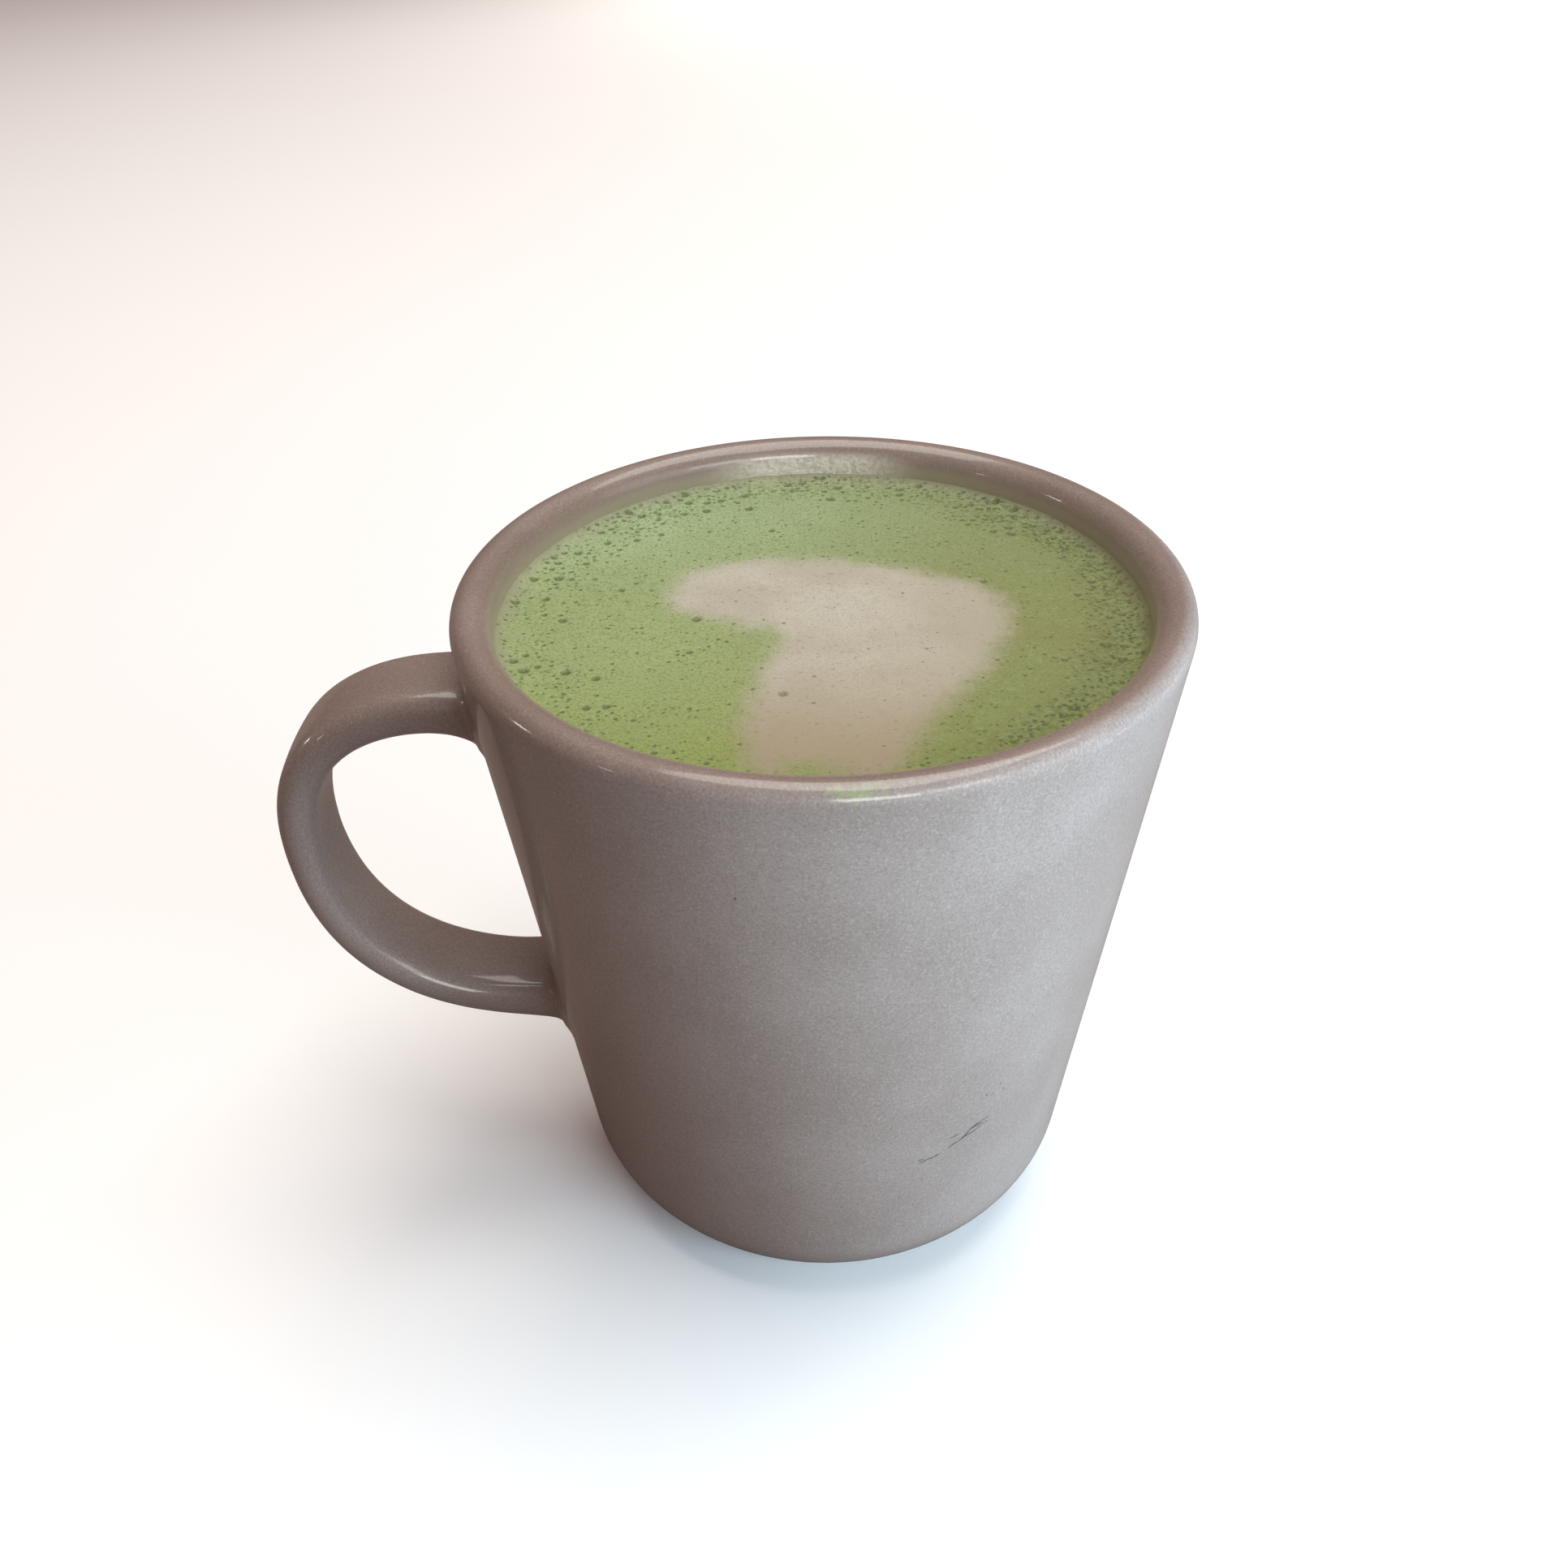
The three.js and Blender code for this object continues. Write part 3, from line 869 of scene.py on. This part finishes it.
def green_foam(n, parts, cloud, froth, fine):
    """Green foam: bluer on the left and at the back, yellower at the front, and darker and more olive on the
    right, partly its own tone and partly painted shade from the rim.
    """
    across = n.fade(parts[0], *LEFT_TO_RIGHT)
    # Each pair of colours darkens towards the right: partly the foam's own olive, partly painted shade of the
    # rim.
    colour = n.mix(across, shade(158, 175, 122), shade(133, 136, 83))
    far = n.mix(across, shade(176, 204, 164), shade(136, 150, 106))
    colour = n.mix(n.fade(parts[1], 0.0, 0.030, 0.0, 0.6), colour, far)
    near = n.mix(across, shade(140, 153, 66), shade(118, 122, 56))
    colour = n.mix(n.fade(parts[1], -0.040, -0.004, 0.85, 0.0), colour, near)
    colour = n.mix(n.fade(cloud, 0.35, 0.65, 0, 0.3), colour, shade(138, 156, 104))
    colour = n.mix(n.fade(froth, 0.45, 0.75, 0, 0.25), colour, shade(164, 176, 130))
    return n.mix(n.fade(fine, 0.32, 0.58, 0.6, 0), colour, shade(108, 124, 70))


def haze_share(n, place, parts, inset):
    """How much the foam thins out towards the wall, all round but the front."""
    width = n.fade(parts[1], -0.034, 0.010, 0.0004, 0.0036)
    ragged = n.fade(n.noise(place, 0.004, 4.0), 0.2, 0.8, -0.35, 0.35)
    return n.fade(n.maths("ADD", n.maths("DIVIDE", inset, width), ragged), 0.0, 1.1, 0.9, 0.0)


def milk_share(n, place, froth):
    """How much milk foam is at a point. Its edge is feathered by noise."""
    milk = n.add("Attribute", {}, attribute_name="milk").outputs["Fac"]
    wander = n.fade(n.noise(place, 0.0040, 5.0, 0.6), 0.25, 0.75, -0.8, 0.8)
    edge = n.maths("ADD", n.maths("ADD", milk, wander), n.fade(froth, 0.25, 0.75, -0.35, 0.35))
    return n.fade(edge, -2.6, 2.5)


def milk_foam(n, place, parts, cloud, fine):
    """Cream milk foam, browner in the tail, and darker on the right, partly its own tone and partly painted
    shade.
    """
    colour = n.mix(n.fade(cloud, 0.3, 0.7), shade(182, 177, 162), shade(195, 192, 180))
    colour = n.mix(n.fade(fine, 0.30, 0.55, 0.45, 0), colour, shade(156, 144, 124))
    blotch = n.noise(place, 0.0028, 4.0, 0.7)
    colour = n.mix(n.fade(blotch, 0.56, 0.70, 0.0, 0.4), colour, shade(158, 150, 128))
    # Darker towards the right: partly the foam's own tone, partly painted shade.
    colour = n.mix(n.fade(parts[0], 0.004, 0.024, 0.0, 0.8), colour, shade(170, 165, 145))
    return n.mix(n.fade(parts[1], -0.034, -0.008, 0.95, 0.0), colour, shade(158, 145, 120))


def wall_band(n, parts, inset):
    """A band along the wall, on the right and at the back, where most of the finest bubbles broke."""
    band = n.maths("MULTIPLY", n.fade(inset, 0.0002, 0.0010), n.fade(inset, 0.0040, 0.0100, 1.0, 0.0))
    beside = n.maths("MAXIMUM", n.fade(parts[0], 0.0, 0.026), n.fade(parts[1], 0.012, 0.032, 0.0, 0.7))
    return n.maths("MULTIPLY", band, n.maths("MAXIMUM", beside, 0.2))


def speck_share(n, place, share, band):
    """Fine specks where tiny bubbles broke, fewer in the milk and more in the band along the wall."""
    cells = n.add("TexVoronoi", {"Vector": place, "Scale": 1 / 0.00075, "Randomness": 1.0})
    chance = n.add("SeparateColor", {0: cells.outputs["Color"]}).outputs[0]
    chance = n.maths("ADD", chance, n.maths("MULTIPLY", band, 0.3))
    size = n.fade(chance, 0.45, 1.1, 0.0, 0.42)
    speck = n.fade(n.maths("SUBTRACT", size, cells.outputs["Distance"]), 0.0, 0.08)
    depth = n.maths("ADD", n.fade(share, 0.0, 1.0, 0.4, 0.25), n.maths("MULTIPLY", band, 0.42))
    return n.maths("MULTIPLY", speck, depth)


def foam():
    """Moist green foam with broken bubbles, and the milk foam of the heart."""
    n = Nodes("matcha_foam")
    place = n.place()
    parts = n.add("SeparateXYZ", {0: place}).outputs
    cloud = n.noise(place, 0.011, 4.0, 0.6)
    froth = n.noise(place, 0.0009, 3.0, 0.6)
    fine = n.noise(place, 0.00035, 2.0, 0.5)
    inset = n.maths("SUBTRACT", inner_radius(DRINK_LEVEL) + DRINK_OVERLAP, n.from_axis(parts))
    haze = haze_share(n, place, parts, inset)
    green = n.mix(haze, green_foam(n, parts, cloud, froth, fine), thin_foam(n, parts))
    share = milk_share(n, place, froth)
    cream = milk_foam(n, place, parts, cloud, fine)
    colour = n.mix(n.maths("MULTIPLY", share, 0.97), green, cream)
    band = wall_band(n, parts, inset)
    lace = n.fade(n.noise(place, 0.0006, 3.0, 0.6), 0.38, 0.56, 0.6, 0.0)
    colour = n.mix(n.maths("MULTIPLY", band, lace), colour, shade(92, 102, 58))
    speck = speck_share(n, place, share, band)
    # The specks' dark colour is partly darker liquid and partly painted shade in tiny broken bubbles.
    colour = n.mix(speck, colour, n.mix(share, shade(78, 92, 48), shade(124, 112, 86)))
    pit = n.add("Attribute", {}, attribute_name="pit").outputs["Fac"]
    ragged = n.maths("ADD", pit, n.fade(fine, 0.25, 0.75, -0.35, 0.35))
    # Inside the pits the foam is darkened: partly the darker liquid there, partly painted shade in the
    # hollow.
    hollow = n.mix(share, shade(86, 104, 46), shade(132, 121, 95))
    colour = n.mix(n.fade(ragged, 0.2, 0.9, 0.0, 0.9), colour, hollow)
    skin = n.bump(froth, 0.00009, 0.6)
    skin = n.bump(fine, 0.00005, 0.5, skin)
    skin = n.bump(speck, 0.00005, 1.0, skin)
    roughness = n.fade(froth, 0.3, 0.7, 0.48, 0.62)
    return n.finish(Base_Color=colour, Roughness=roughness, Normal=skin, Subsurface_Weight=0.15,
                    Subsurface_Radius=(0.8, 1.0, 0.4), Subsurface_Scale=0.001)


def scuff():
    """A dark rubbed mark."""
    n = Nodes("scuff")
    worn = n.noise(n.place(), 0.0006, 3.0)
    colour = n.mix(n.fade(worn, 0.35, 0.65), shade(66, 61, 60), shade(92, 85, 82))
    return n.finish(Base_Color=colour, Roughness=0.6)


def floor_paint():
    """A pale floor that looks nearly white, and throws less light back at the mug than it shows."""
    n = Nodes("floor")
    cloud = n.noise(n.place(), 0.15, 3.0)
    pale = n.mix(cloud, shade(248, 246, 244), shade(251, 249, 247))
    thrown = n.mix(cloud, shade(136, 120, 112), shade(140, 124, 116))
    colour = n.mix(n.add("LightPath", {}).outputs["Is Camera Ray"], thrown, pale)
    return n.finish(Base_Color=colour, Roughness=0.85)


# The stage

def make_floor():
    """A square floor under the mug."""
    row = FLOOR_CELLS + 1
    grid = np.linspace(-FLOOR_REACH, FLOOR_REACH, row)
    corners = [(x, y, 0) for y in grid for x in grid]
    faces = []
    for i in range(FLOOR_CELLS):
        for j in range(FLOOR_CELLS):
            a = i * row + j
            faces.append((a, a + 1, a + row + 1, a + row))
    floor = add_object("floor", mesh_of("floor", corners, faces))
    floor.data.materials.append(floor_paint())


def make_camera():
    """The camera of the photograph."""
    camera = bpy.data.objects.new("camera", bpy.data.cameras.new("camera"))
    camera.data.sensor_width = SENSOR_WIDTH
    camera.data.lens = SENSOR_WIDTH * FOCAL_PIXELS / PHOTO_SIDE
    camera.data.clip_start = 0.01
    forward = Vector((0, math.cos(CAMERA_PITCH), -math.sin(CAMERA_PITCH)))
    level_up = Vector((0, math.sin(CAMERA_PITCH), math.cos(CAMERA_PITCH)))
    level_right = Vector((1, 0, 0))
    cos, sin = math.cos(CAMERA_ROLL), math.sin(CAMERA_ROLL)
    right = cos * level_right + sin * level_up
    up = cos * level_up - sin * level_right
    place = Vector((AXIS_X, 0, 0)) + Vector(CAMERA_AIM) - CAMERA_DISTANCE * forward
    turn = Matrix((right, up, -forward)).transposed().to_4x4()
    camera.matrix_world = Matrix.Translation(place) @ turn
    bpy.context.scene.collection.objects.link(camera)
    bpy.context.scene.camera = camera


def softbox(name, azimuth, elevation, distance, size, power, colour):
    """A rectangular lamp that faces the mug and isn't seen itself."""
    light = bpy.data.lights.new(name, "AREA")
    light.shape = "RECTANGLE"
    light.size, light.size_y = size
    light.energy = power
    light.color = colour
    lamp = bpy.data.objects.new(name, light)
    a, e = math.radians(azimuth), math.radians(elevation)
    way = Vector((math.sin(a) * math.cos(e), -math.cos(a) * math.cos(e), math.sin(e)))
    lamp.location = Vector((AXIS_X, 0, MUG_HEIGHT / 2)) + way * distance
    lamp.rotation_euler = way.to_track_quat("Z", "Y").to_euler()
    lamp.visible_glossy = "glow" not in name
    lamp.visible_diffuse = "glint" not in name
    lamp.visible_camera = False
    bpy.context.scene.collection.objects.link(lamp)


def make_lights():
    for name, lamp in LAMPS.items():
        softbox(name, *lamp)


def make_room():
    """A dim warm room, which looks like a pale backdrop."""
    world = bpy.data.worlds.new("room")
    bpy.context.scene.world = world
    world.use_nodes = True
    tree = world.node_tree
    room = tree.nodes["Background"]
    room.inputs["Color"].default_value = (*ROOM_COLOUR, 1)
    room.inputs["Strength"].default_value = ROOM_STRENGTH
    backdrop = tree.nodes.new("ShaderNodeBackground")
    backdrop.inputs["Color"].default_value = shade(*BACKDROP)
    path = tree.nodes.new("ShaderNodeLightPath")
    seen = tree.nodes.new("ShaderNodeMixShader")
    tree.links.new(path.outputs["Is Camera Ray"], seen.inputs[0])
    tree.links.new(room.outputs[0], seen.inputs[1])
    tree.links.new(backdrop.outputs[0], seen.inputs[2])
    tree.links.new(seen.outputs[0], tree.nodes["World Output"].inputs["Surface"])


# Everything together

def dress(piece, material, slot, *nodes):
    """Gives a piece its material and its body, and hides the nodes of the part that it replaces. Its slot is
    not used.
    """
    piece.data.materials.append(material)
    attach(piece, "root")
    if nodes:
        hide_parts(*nodes)


make_camera()
make_floor()
make_lights()
make_room()
dress(make_mug(), glaze(), "mug_glaze", "mug")
dress(make_drink(), foam(), "matcha_foam", "latte", "milk_heart")
dress(make_scuffs(), scuff(), "mug_glaze")
bpy.context.scene.view_settings.view_transform = "Standard"
